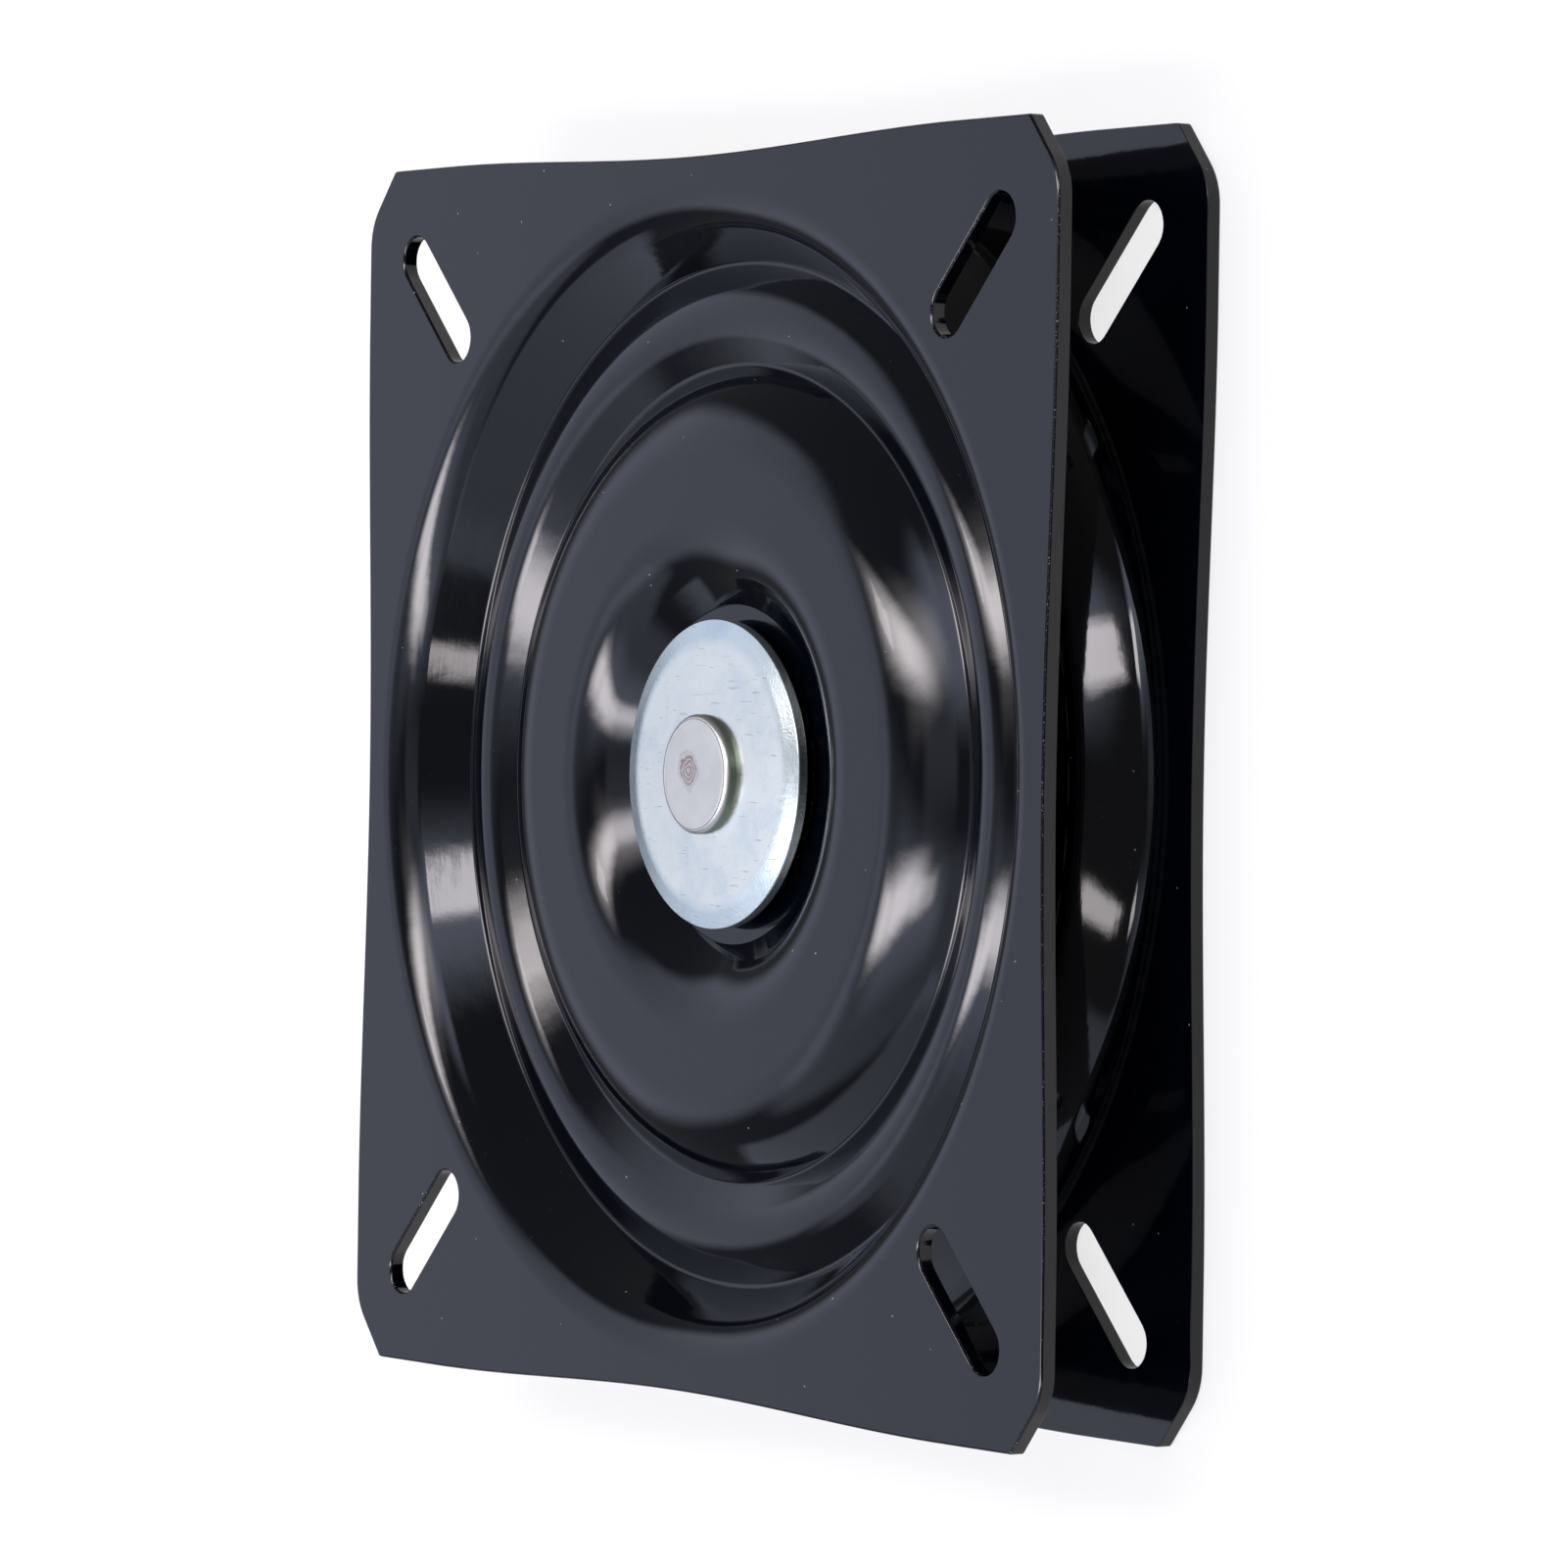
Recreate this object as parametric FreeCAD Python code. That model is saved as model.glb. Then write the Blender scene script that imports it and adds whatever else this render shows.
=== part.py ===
"""Heavy-duty lazy susan bearing: two pressed square plates on a full ring of steel balls.

Lengths are in millimetres. The bearing lies flat with its turning axis along +Z, and the origin is
at the centre of its lowest plane. The bottom plate is the top plate's pressing turned over. Depths
in the pressing are measured from the flat mounting face of each plate, towards the other plate.
"""
import FreeCAD
import Part
import math
import os

# The square plates
side = 200.0                  # across the flats of each plate
sheet = 2.5                   # steel sheet thickness
corner_cut_short = 7.8        # each corner is cropped by this much along the sides that run along X
corner_cut_long = 9.0         # and by this much along the sides that run along Y
corner_blend = 10.0           # large radius where the crop runs into a side along Y
corner_round = 0.8            # small radius at the crop's other end
drawn_in = 1.9                # the deep pressing pulls the middle of each side inwards by this
straight_end = 25.0           # length at each end of a side that stays straight, from the square's corner
edge_round = 0.45             # rolled edge of the mounting face, from the blanking tool

# The mounting slots, one near each corner of both plates, pointing at the centre
slot_land = 7.6               # steel between the dish's edge and each slot
slot_length = 27.0            # overall, with its round ends
slot_width = 8.0

# The pressing, from the rim to the middle
rim_width = 10.8              # from the square's side to the dish's edge
dish_wall_angle = 54.7        # wall slope
dish_bend = 6.1               # inside radius of the bend at the rim
race_inset = 15.92            # from the dish's edge in to the pitch circle of the load balls
race_depth = 7.58             # from the mounting face to the crown of the ball groove
race_ease = 1.88              # the ball groove's inside radius is this much more than the ball's
race_inner_angle = 24.85      # slope of the groove flank nearer the centre
race_outer_angle = 26.5       # slope of the groove flank nearer the rim
valley_bend = 0.66            # inside radius of the two sharp valleys beside the groove
dome_inset = 14.7             # from that pitch circle in to where the dome's slope meets its crown
dome_depth = 3.12             # from the mounting face to the dome's flat crown
dome_slope_angle = 47.4       # outer slope of the dome
dome_bend = 13.0              # inside radius of the dome's shoulder
hub_room = 11.12              # from the washer's rim out to where the recess wall meets the crown
hub_wall_angle = 36.3
hub_gap = 2.21                # open space between the recess floor and the washer
hub_lip_bend = 9.9            # inside radius of the recess lip
hub_floor_bend = 0.75         # inside radius of the recess floor's edge

# The balls
load_ball = 9.525             # diameter
load_gap = 0.05               # least space between neighbouring load balls
race_play = 0.15              # running clearance of a load ball to each groove
hold_ball = 3.969             # diameter of the small balls under the washer
hold_inset = 6.8              # from the edge of the turning plate's hole out to their pitch circle
hold_gap = 0.35               # least space between neighbouring small balls
hold_play = 0.15              # running clearance of a small ball to its groove and to the washer
hold_ease = 0.3               # the small groove's inside radius is this much more than its ball's
hold_groove_angle = 38.0      # slope of that groove's flanks
hold_groove_round = 0.8       # inside radius where those flanks meet the recess floor

# The centre rivet and what it clamps
shank_radius = 6.0
head_overlap = 3.55           # both rivet heads are this much wider than the shank, all round
rivet_head_height = 3.6       # formed head, above the washer
rivet_foot_height = 3.0       # factory head, under the bottom plate's hub
rivet_foot_round = 1.0        # rounded lower edge of the factory head
rivet_edge = 0.35             # broken edge of the formed head
sleeve_wall = 4.8
hub_clearance = 1.0           # radial space between the turning plate's hole and the sleeve
washer_cover = 6.15           # the washer reaches this far past the pitch circle of the small balls
washer_sheet = 1.9
washer_depth = 5.5            # from the mounting face of the top plate to the washer's upper face
washer_edge = 0.7             # rounded rim of the washer

# Radii that follow, from the square's side inwards
dish_radius = side / 2.0 - rim_width
race_radius = dish_radius - race_inset
dome_radius = race_radius - dome_inset
race_bend = load_ball / 2.0 + race_ease
slot_centre = dish_radius + slot_land + slot_length / 2.0

# Radii that follow, from the rivet outwards
rivet_head_radius = shank_radius + head_overlap
sleeve_radius = shank_radius + sleeve_wall
hub_hole = sleeve_radius + hub_clearance
hold_radius = hub_hole + hold_inset
hold_groove_bend = hold_ball / 2.0 + hold_ease
washer_radius = hold_radius + washer_cover
hub_radius = washer_radius + hub_room

# Depths and heights that follow
height = 2 * (race_depth + sheet + race_play) + load_ball
hub_depth = washer_depth + washer_sheet + hub_gap
hub_seat = hub_depth + sheet
hold_groove_depth = washer_depth + washer_sheet + hold_ball + 2 * hold_play
washer_top = height - washer_depth
washer_under = washer_top - washer_sheet

origin = FreeCAD.Vector(0, 0, 0)
upwards = FreeCAD.Vector(0, 0, 1)


def line_at(radius, depth, angle):
    """A slanting line of the section, through a point and rising towards the rim by the angle."""
    return (radius, -depth, math.tan(math.radians(angle)))


def crossing(first, second):
    """The point where two section lines meet."""
    rise = second[1] - first[1] + first[2] * first[0] - second[2] * second[0]
    radius = rise / (first[2] - second[2])
    return (radius, first[1] + first[2] * (radius - first[0]))


def tangent_line(centre_radius, crown_depth, bend, angle, crown_up):
    """The line that touches a groove's arc where its slope reaches the angle."""
    turn = math.radians(angle)
    way = 1.0 if crown_up else -1.0
    radius = centre_radius - way * bend * math.sin(turn)
    depth = crown_depth + way * bend * (1.0 - math.cos(turn))
    return line_at(radius, depth, angle)


def pressing_corners(hole_radius, reach, grooved):
    """Corners of the pressed face from the hub hole to the rim, each with its inside bend radius."""
    face = line_at(0.0, 0.0, 0.0)
    wall = line_at(dish_radius, 0.0, dish_wall_angle)
    crown = race_bend + sheet
    race_out = tangent_line(race_radius, race_depth, crown, -race_outer_angle, True)
    race_in = tangent_line(race_radius, race_depth, crown, race_inner_angle, True)
    dome_top = line_at(0.0, dome_depth, 0.0)
    dome_slope = line_at(dome_radius, dome_depth, -dome_slope_angle)
    hub_wall = line_at(hub_radius, dome_depth, hub_wall_angle)
    hub_floor = line_at(0.0, hub_depth, 0.0)
    corners = [((hole_radius, -hub_depth), 0.0)]
    if grooved:
        corners += groove_corners(hub_floor)
    corners.append((crossing(hub_floor, hub_wall), hub_floor_bend))
    corners.append((crossing(hub_wall, dome_top), hub_lip_bend))
    corners.append((crossing(dome_top, dome_slope), dome_bend))
    corners.append((crossing(dome_slope, race_in), valley_bend))
    corners.append((crossing(race_in, race_out), race_bend))
    corners.append((crossing(race_out, wall), valley_bend))
    corners.append((crossing(wall, face), dish_bend))
    corners.append(((reach, 0.0), 0.0))
    return corners


def groove_corners(hub_floor):
    """Corners of the small balls' groove in the floor of the hub recess."""
    trough = (hold_radius, hold_groove_depth, hold_groove_bend)
    groove_in = tangent_line(*trough, -hold_groove_angle, False)
    groove_out = tangent_line(*trough, hold_groove_angle, False)
    return [
        (crossing(hub_floor, groove_in), hold_groove_round),
        (crossing(groove_in, groove_out), hold_groove_bend),
        (crossing(groove_out, hub_floor), hold_groove_round),
    ]


def directions(points):
    """Unit directions of the straight runs between the points."""
    ways = []
    for start, end in zip(points, points[1:]):
        span = math.hypot(end[0] - start[0], end[1] - start[1])
        ways.append(((end[0] - start[0]) / span, (end[1] - start[1]) / span))
    return ways


def turn_between(before, after):
    """The angle from one direction to the next, positive where the path turns upwards."""
    cross = before[0] * after[1] - before[1] * after[0]
    return math.atan2(cross, before[0] * after[0] + before[1] * after[1])


def fitting_bends(points, ways, bends):
    """The inside radii, made smaller where the flat between two bends is too short for both."""
    fitted = list(bends)
    for index in range(1, len(points) - 2):
        first, second = (turn_between(ways[at_bend - 1], ways[at_bend]) for at_bend in (index, index + 1))
        slopes = (math.tan(abs(first) / 2.0), math.tan(abs(second) / 2.0))
        spare = math.dist(points[index], points[index + 1])
        spare -= sum(sheet * slope for slope, turn in zip(slopes, (first, second)) if turn < 0.0)
        wanted = fitted[index] * slopes[0] + fitted[index + 1] * slopes[1]
        share = min(1.0, 0.98 * spare / wanted)
        fitted[index] *= share
        fitted[index + 1] *= share
    return fitted


def bent_path(corners, thickness):
    """Edges through the corners moved down by the thickness, with an arc at every bend.

    The inside radius belongs to the hollow side of a bend, and its other side is one sheet larger.
    """
    points = [corner[0] for corner in corners]
    ways = directions(points)
    bends = fitting_bends(points, ways, [corner[1] for corner in corners])
    edges = []
    last = (points[0][0], points[0][1] - thickness)
    for index in range(1, len(points) - 1):
        before, after = ways[index - 1], ways[index]
        turn = turn_between(before, after)
        half = math.tan(turn / 2.0)
        shift = (before[1] + half * before[0], -before[0] + half * before[1])
        corner = (points[index][0] + thickness * shift[0], points[index][1] + thickness * shift[1])
        on_hollow_side = (turn > 0.0) == (thickness == 0.0)
        radius = bends[index] + (0.0 if on_hollow_side else sheet)
        reach = radius * abs(half)
        start = (corner[0] - reach * before[0], corner[1] - reach * before[1])
        end = (corner[0] + reach * after[0], corner[1] + reach * after[1])
        inward = (after[0] - before[0], after[1] - before[1])
        depth = (radius / math.cos(turn / 2.0) - radius) / math.hypot(inward[0], inward[1])
        middle = (corner[0] + depth * inward[0], corner[1] + depth * inward[1])
        edges.append(Part.makeLine(at(last), at(start)))
        edges.append(Part.Arc(at(start), at(middle), at(end)).toShape())
        last = end
    edges.append(Part.makeLine(at(last), at((points[-1][0], points[-1][1] - thickness))))
    return edges


def at(point):
    """A section point, radius and height, as a point of the XZ plane."""
    return FreeCAD.Vector(point[0], 0.0, point[1])


def drawn_side(cut):
    """A side of the blank between its two cropped corners, pulled in along a smooth bell curve."""
    half = side / 2.0
    span = side - 2.0 * straight_end
    steps = 8
    points = []
    for step in range(steps + 1):
        along = (step / steps - 0.5) * span
        pull = drawn_in * math.cos(math.pi * along / span) ** 2
        points.append(FreeCAD.Vector(along, half - pull, 0))
    curve = Part.BSplineCurve()
    level = FreeCAD.Vector(1, 0, 0)
    curve.interpolate(Points=points, InitialTangent=level, FinalTangent=level)
    left = FreeCAD.Vector(-half + cut, half, 0)
    right = FreeCAD.Vector(half - cut, half, 0)
    return [Part.makeLine(left, points[0]), curve.toShape(), Part.makeLine(points[-1], right)]


def blank_outline():
    """The four drawn-in sides and the four cropped corners."""
    half = side / 2.0
    edges = []
    for quarter, cut in enumerate((corner_cut_short, corner_cut_long) * 2):
        for edge in drawn_side(cut):
            edge.rotate(origin, upwards, -90.0 * quarter)
            edges.append(edge)
    for across in (-1.0, 1.0):
        for along in (-1.0, 1.0):
            short_end = FreeCAD.Vector(across * (half - corner_cut_short), along * half, 0)
            long_end = FreeCAD.Vector(across * half, along * (half - corner_cut_long), 0)
            edges.append(Part.makeLine(short_end, long_end))
    return Part.Wire(Part.__sortEdges__(edges))


def upright_edges(block, place_x, place_y):
    """The block's upright edges at a distance from the axis along X and along Y."""
    found = []
    for edge in block.Edges:
        box = edge.BoundBox
        upright = box.XLength < 0.01 and box.YLength < 0.01
        if upright and abs(abs(box.XMin) - place_x) < 0.02 and abs(abs(box.YMin) - place_y) < 0.02:
            found.append(edge)
    return found


def blank(top, bottom):
    """The cropped square outline as a block between two heights, with its corners rounded."""
    half = side / 2.0
    block = Part.Face(blank_outline()).extrude(FreeCAD.Vector(0, 0, top - bottom))
    block.translate(FreeCAD.Vector(0, 0, bottom))
    block = block.makeFillet(corner_blend, upright_edges(block, half, half - corner_cut_long))
    return block.makeFillet(corner_round, upright_edges(block, half - corner_cut_short, half))


def slot_cutter(quarter, top, bottom):
    """A round-ended slot that points at the centre, in one corner of the plate."""
    run = slot_length - slot_width
    tool = Part.makeBox(run, slot_width, top - bottom, FreeCAD.Vector(-run / 2.0, -slot_width / 2.0, bottom))
    for way in (-1.0, 1.0):
        place = FreeCAD.Vector(way * run / 2.0, 0, bottom)
        tool = tool.fuse(Part.makeCylinder(slot_width / 2.0, top - bottom, place))
    tool = tool.removeSplitter()
    tool.translate(FreeCAD.Vector(slot_centre, 0, 0))
    tool.rotate(origin, upwards, 45.0 + 90.0 * quarter)
    return tool


def pressed_plate(hole_radius, grooved):
    """A plate with its mounting face on Z = 0 and its pressing below."""
    corners = pressing_corners(hole_radius, side, grooved)
    upper = bent_path(corners, 0.0)
    lower = bent_path(corners, sheet)
    inner_end = Part.makeLine(at((hole_radius, -hub_depth)), at((hole_radius, -hub_depth - sheet)))
    outer_end = Part.makeLine(at((side, 0.0)), at((side, -sheet)))
    section = Part.Wire(Part.__sortEdges__(upper + [outer_end] + lower + [inner_end]))
    plate = Part.Face(section).revolve(origin, upwards, 360)
    deepest = max(hub_depth, hold_groove_depth, race_depth) + 3 * sheet
    plate = plate.common(blank(sheet, -deepest))
    for quarter in range(4):
        plate = plate.cut(slot_cutter(quarter, sheet, -deepest))
    rim = [edge for edge in plate.Edges if is_face_edge(edge)]
    return plate.makeFillet(edge_round, rim)


def is_face_edge(edge):
    """True for the edges of the mounting face's outline and slots, but not of its dish."""
    box = edge.BoundBox
    on_face = abs(box.ZMin) < 0.01 and abs(box.ZMax) < 0.01
    middle = edge.valueAt((edge.FirstParameter + edge.LastParameter) / 2.0)
    ends = [vertex.Point for vertex in edge.Vertexes]
    round_the_axis = all(abs(math.hypot(end.x, end.y) - math.hypot(middle.x, middle.y)) < 0.01 for end in ends)
    return on_face and not (round_the_axis and math.hypot(middle.x, middle.y) < dish_radius + slot_land)


def top_plate():
    """The turning plate, with the groove of the small balls in its hub."""
    plate = pressed_plate(hub_hole, True)
    plate.translate(FreeCAD.Vector(0, 0, height))
    return plate


def bottom_plate():
    """The standing plate, turned over, with its hub tight on the rivet."""
    plate = pressed_plate(shank_radius, False)
    plate.rotate(origin, FreeCAD.Vector(1, 0, 0), 180)
    return plate


def ring_of(pitch_radius, diameter, gap):
    """Angles of a full ring of balls that keeps at least the gap between neighbours."""
    count = int(math.pi / math.asin((diameter + gap) / (2.0 * pitch_radius)))
    return [2.0 * math.pi * index / count for index in range(count)]


def ball(diameter, pitch_radius, angle, level):
    """One ball of a ring, on the pitch radius."""
    place = FreeCAD.Vector(pitch_radius * math.cos(angle), pitch_radius * math.sin(angle), level)
    return Part.makeSphere(diameter / 2.0, place)


def hold_down_balls():
    """The small balls between the hub's groove and the washer, which keep the plates together."""
    level = washer_under - hold_play - hold_ball / 2.0
    angles = ring_of(hold_radius, hold_ball, hold_gap)
    return Part.makeCompound([ball(hold_ball, hold_radius, angle, level) for angle in angles])


def drum(radius, bottom, top):
    """A solid round piece on the axis between two heights."""
    return Part.makeCylinder(radius, top - bottom, FreeCAD.Vector(0, 0, bottom))


def rims_at(shape, level):
    """The round edges that lie at a height."""
    return [edge for edge in shape.Edges if max(abs(edge.BoundBox.ZMin - level), abs(edge.BoundBox.ZMax - level)) < 0.01]


def rivet():
    """The centre rivet: a factory head below, a shank, and a head formed flat on top."""
    foot_level = hub_depth - rivet_foot_height
    head_level = washer_top + rivet_head_height
    foot = drum(rivet_head_radius, foot_level, hub_depth)
    foot = foot.makeFillet(rivet_foot_round, rims_at(foot, foot_level))
    shank = drum(shank_radius, hub_depth, washer_top)
    head = drum(rivet_head_radius, washer_top, head_level)
    head = head.makeFillet(rivet_edge, rims_at(head, head_level))
    return foot.fuse(shank).fuse(head)


def washer():
    """The plated washer that the rivet clamps on the sleeve, with a rounded rim."""
    disc = drum(washer_radius, washer_under, washer_top)
    rims = rims_at(disc, washer_under) + rims_at(disc, washer_top)
    disc = disc.makeFillet(min(washer_edge, washer_sheet * 0.45), rims)
    return disc.cut(drum(shank_radius, washer_under, washer_top))


def spacer_sleeve():
    """The sleeve on the rivet that sets the space between the bottom hub and the washer."""
    return drum(sleeve_radius, hub_seat, washer_under).cut(drum(shank_radius, hub_seat, washer_under))


def save(name, shape):
    """Writes one piece as a STEP file named for its node."""
    shape.exportStep("parts/" + name + ".step")


os.makedirs("parts", exist_ok=True)
save("top_plate", top_plate())
save("bottom_plate", bottom_plate())
for number, angle in enumerate(ring_of(race_radius, load_ball, load_gap), start=1):
    save("load_ball_%02d" % number, ball(load_ball, race_radius, angle, height / 2.0))
save("hold_down_balls", hold_down_balls())
save("rivet", rivet())
save("washer", washer())
save("spacer_sleeve", spacer_sleeve())
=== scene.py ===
"""Heavy-duty lazy susan bearing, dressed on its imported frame. Blender works in metres, and the
sizes of the pieces are written in millimetres."""
import bpy
import math
import numpy as np
from mathutils import Matrix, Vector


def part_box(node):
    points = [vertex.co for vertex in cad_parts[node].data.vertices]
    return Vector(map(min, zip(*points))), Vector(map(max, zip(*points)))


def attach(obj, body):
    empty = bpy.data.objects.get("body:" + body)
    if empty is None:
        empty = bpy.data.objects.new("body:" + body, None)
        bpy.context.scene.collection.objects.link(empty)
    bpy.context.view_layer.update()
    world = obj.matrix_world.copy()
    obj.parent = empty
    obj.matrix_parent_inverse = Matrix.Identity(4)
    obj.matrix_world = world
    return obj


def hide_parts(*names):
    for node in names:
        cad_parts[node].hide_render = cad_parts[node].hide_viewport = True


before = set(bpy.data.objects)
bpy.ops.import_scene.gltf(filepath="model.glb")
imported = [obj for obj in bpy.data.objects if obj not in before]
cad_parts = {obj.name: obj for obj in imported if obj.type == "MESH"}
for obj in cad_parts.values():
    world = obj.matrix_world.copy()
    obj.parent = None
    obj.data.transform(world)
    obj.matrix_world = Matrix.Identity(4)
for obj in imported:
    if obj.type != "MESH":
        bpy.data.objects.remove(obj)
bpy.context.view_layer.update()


# The two pressed plates. Each is one sheet of 2.5 mm steel, blanked with cropped corners and four
# slots, drawn into a dish, ball groove, dome and hub recess, then stoved with gloss black paint.
# The lower plate is the same pressing turned over and riveted at its hub.
MM, METRE = 0.001, 1000.0
# The upper mounting face, in metres.
FACE_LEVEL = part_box("top_plate")[1][2]
SHEET, HUB_DEPTH = 2.5, 9.61
HUB_HOLE, RIVET_HOLE = 11.8, 6.0
# Each corner of the pressed section: its radius, its depth below the mounting face, and the radius
# of its bend on that face. From FLAT_FROM outwards the rim is flat.
FLAT_FROM = 93.66
HOLD_GROOVE = [(14.85, HUB_DEPTH, 3.3), (18.6, 12.34, 2.28), (22.35, HUB_DEPTH, 3.3)]
PRESSING = [(27.03, HUB_DEPTH, 0.75), (35.87, 3.12, 17.0), (58.58, 3.12, 18.5),
            (65.25, 10.36, 0.66), (73.42, 6.58, 9.14), (81.67, 10.69, 0.66), (89.2, 0.0, 8.6),
            (FLAT_FROM, 0.0, 0.0)]
# Half a side, how far its middle is pulled in, and how far from the middle that ends. Each end of
# a corner's crop is given with the radius of its arc.
HALF_SIDE, PULLED_IN, PULL_ENDS = 100, 1.9, 75
CROP = [(92.2, HALF_SIDE, 0.8), (HALF_SIDE, 91, 10)]
SLOT_CENTRE, SLOT_HALF_RUN, SLOT_HALF_WIDTH = 110.3, 9.5, 4.0
ROLLED_EDGE, CUT_EDGE, EDGE_FLAT = 0.45, 0.12, 0.3
# The grid's columns, the most degrees between two rows of a bend, and how far to each side of its
# slot's direction a corner's band reaches, in degrees.
COLUMNS, BEND_STEP, BAND_REACH = 464, 5.8, 15


def bent_rows(corners, step):
    """Rows of a bent section, as points and normals.

    Between two straight runs the surface follows an arc: a point is the arc's centre less its
    radius times the normal, where the normal turns evenly from one run's slope to the next, in an
    even number of steps of up to the given degrees.
    """
    corners = np.array(corners, float)
    way = np.diff(corners[:, :2], axis=0)
    slope = np.unwrap(np.arctan2(way[:, 1], way[:, 0]))
    points, normals = [corners[:1, :2]], [[[-np.sin(slope[0]), np.cos(slope[0])]]]
    for (r, z, bend), before, after in zip(corners[1:-1], slope[:-1], slope[1:]):
        sign, angle = np.sign(after - before), abs(after - before)
        reach = bend * math.tan(angle / 2)
        start = np.array([r - reach * math.cos(before), z - reach * math.sin(before)])
        centre = start + sign * bend * np.array([-math.sin(before), math.cos(before)])
        pairs = math.ceil(math.degrees(angle) / step / 2)
        turn = np.linspace(before, after, 2 * pairs + 1)
        normal = np.stack([-np.sin(turn), np.cos(turn)], 1)
        points.append(centre - sign * bend * normal)
        normals.append(normal)
    points.append(corners[-1:, :2])
    normals.append([[-np.sin(slope[-1]), np.cos(slope[-1])]])
    return np.concatenate(points), np.concatenate(normals)


def at_level(across, level):
    """A grid of x and y with a third value for each row, the same all along it."""
    levels = np.broadcast_to(level[:, None, None], across.shape[:2] + (1,))
    return np.concatenate([across, levels], 2)


def carried(rows, ring):
    """Rows carried round the axis: x and y are the row's radius times the unit circle's points."""
    return at_level(rows[:, None, :1] * ring[None], rows[:, 1])


def grid_faces(rows, columns):
    """The vertex numbers of a grid that closes on itself both ways, and the quad at each vertex."""
    index = np.arange(rows * columns).reshape(rows, columns)
    beside = np.roll(index, -1, 1)
    return index, np.stack([index, np.roll(index, -1, 0), np.roll(beside, -1, 0), beside], 2)


def outline_at(theta):
    """Outline points and outward normals at polar angles, from one quadrant folded four ways.

    Each side is pulled in by a squared cosine that is greatest at its middle, and a crop joins the
    sides. The quadrant's path is cut fine, and radius and normal are interpolated along it. The
    result stays a hundredth of a millimetre inside the plate's square.
    """
    t = np.linspace(0, PULL_ENDS, 400)
    side = HALF_SIDE - PULLED_IN * np.cos(np.pi * t / (2 * PULL_ENDS)) ** 2
    corner, _ = bent_rows([(PULL_ENDS, HALF_SIDE, 0), *CROP, (HALF_SIDE, PULL_ENDS, 0)], 1.5)
    path = np.concatenate([np.stack([t, side], 1)[:-1], corner, np.stack([side, t], 1)[-2::-1]])
    share = np.linspace(0, 1, 12)[None, :, None]
    path = (path[:-1, None] * (1 - share) + path[1:, None] * share)[:, :-1].reshape(-1, 2)
    middle, across = (path[1:] + path[:-1]) / 2, np.diff(path, axis=0)
    length = np.hypot(across[:, 0], across[:, 1])
    angle = np.arctan2(path[:, 1], path[:, 0])[::-1]
    radius = np.hypot(path[:, 0], path[:, 1])[::-1]
    angle_mid = np.arctan2(middle[:, 1], middle[:, 0])[::-1]
    nx, ny = (-across[:, 1] / length)[::-1], (across[:, 0] / length)[::-1]
    folded = np.arctan2(np.abs(np.sin(theta)), np.abs(np.cos(theta)))
    rho = np.interp(folded, angle, radius)
    points = np.stack([rho * np.cos(theta), rho * np.sin(theta)], 1)
    normal = np.stack([np.sign(np.cos(theta)) * np.abs(np.interp(folded, angle_mid, nx)),
                       np.sign(np.sin(theta)) * np.abs(np.interp(folded, angle_mid, ny))], 1)
    normal /= np.linalg.norm(normal, axis=1)[:, None]
    limit = HALF_SIDE - 0.01
    return np.clip(points, -limit, limit), normal


def slot_edge(direction, radius):
    """Distance from a round-ended slot's centre to its edge, along each direction.

    To a straight side it is the radius over the sine. To a round end it is the half run's part
    along the ray, plus the root of the radius squared less the square of its part beside the ray.
    """
    straight = radius / np.maximum(np.abs(np.sin(direction)), 1e-9)
    root = np.maximum(radius ** 2 - (SLOT_HALF_RUN * np.sin(direction)) ** 2, 0)
    round_end = SLOT_HALF_RUN * np.abs(np.cos(direction)) + np.sqrt(root)
    return np.where(straight * np.abs(np.cos(direction)) <= SLOT_HALF_RUN, straight, round_end)


def edge_rows():
    """Inset, level, outward and upward part of the normal, and wear, of the rows round a cut edge.

    They are the flat beside it, a rolled arc, the wall, and a small arc below. On an arc the inset
    is the radius times one less the sine, and the level falls by the radius times one less the
    cosine. Wear is 1 on the rolled arc and fades over the flat and the wall.
    """
    roll = np.radians(np.linspace(0, 90, 5))
    cut = np.radians(np.linspace(90, 180, 3))
    inset = np.concatenate([[ROLLED_EDGE + EDGE_FLAT], ROLLED_EDGE * (1 - np.sin(roll)),
                            CUT_EDGE * (1 - np.sin(cut))])
    level = np.concatenate([[0.0], -ROLLED_EDGE * (1 - np.cos(roll)),
                            -SHEET + CUT_EDGE * (1 + np.cos(cut))])
    out = np.concatenate([[0.0], np.sin(roll), np.sin(cut)])
    up = np.concatenate([[1.0], np.cos(roll), np.cos(cut)])
    return inset, level, out, up, np.array([0.0, 0.8, 1.0, 1.0, 1.0, 0.75, 0.3, 0.2, 0.1])


def slot_band(middle, loop, inset, level, out, up):
    """Points and normals of the rows round a slot that points along the polar angle middle.

    Each row has a point for each point of the loop round the slot, in the same direction from the
    slot's centre, where the slot grown by the row's inset has its edge.
    """
    c, s = math.cos(middle), math.sin(middle)
    spin = np.array([[c, s], [-s, c]])
    centre = SLOT_CENTRE * np.array([c, s])
    away = loop - centre
    direction = np.arctan2(away[:, 1], away[:, 0]) - middle
    reach = slot_edge(direction[None], SLOT_HALF_WIDTH + inset[:, None])
    along, beside = reach * np.cos(direction), reach * np.sin(direction)
    end = np.clip(along, -SLOT_HALF_RUN, SLOT_HALF_RUN)
    inward = -np.stack([along - end, beside], 2)
    inward /= np.linalg.norm(inward, axis=2)[:, :, None]
    xy = centre + np.stack([along, beside], 2) @ spin
    return at_level(xy, level), at_level((inward @ spin) * out[:, None, None], up)


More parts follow.
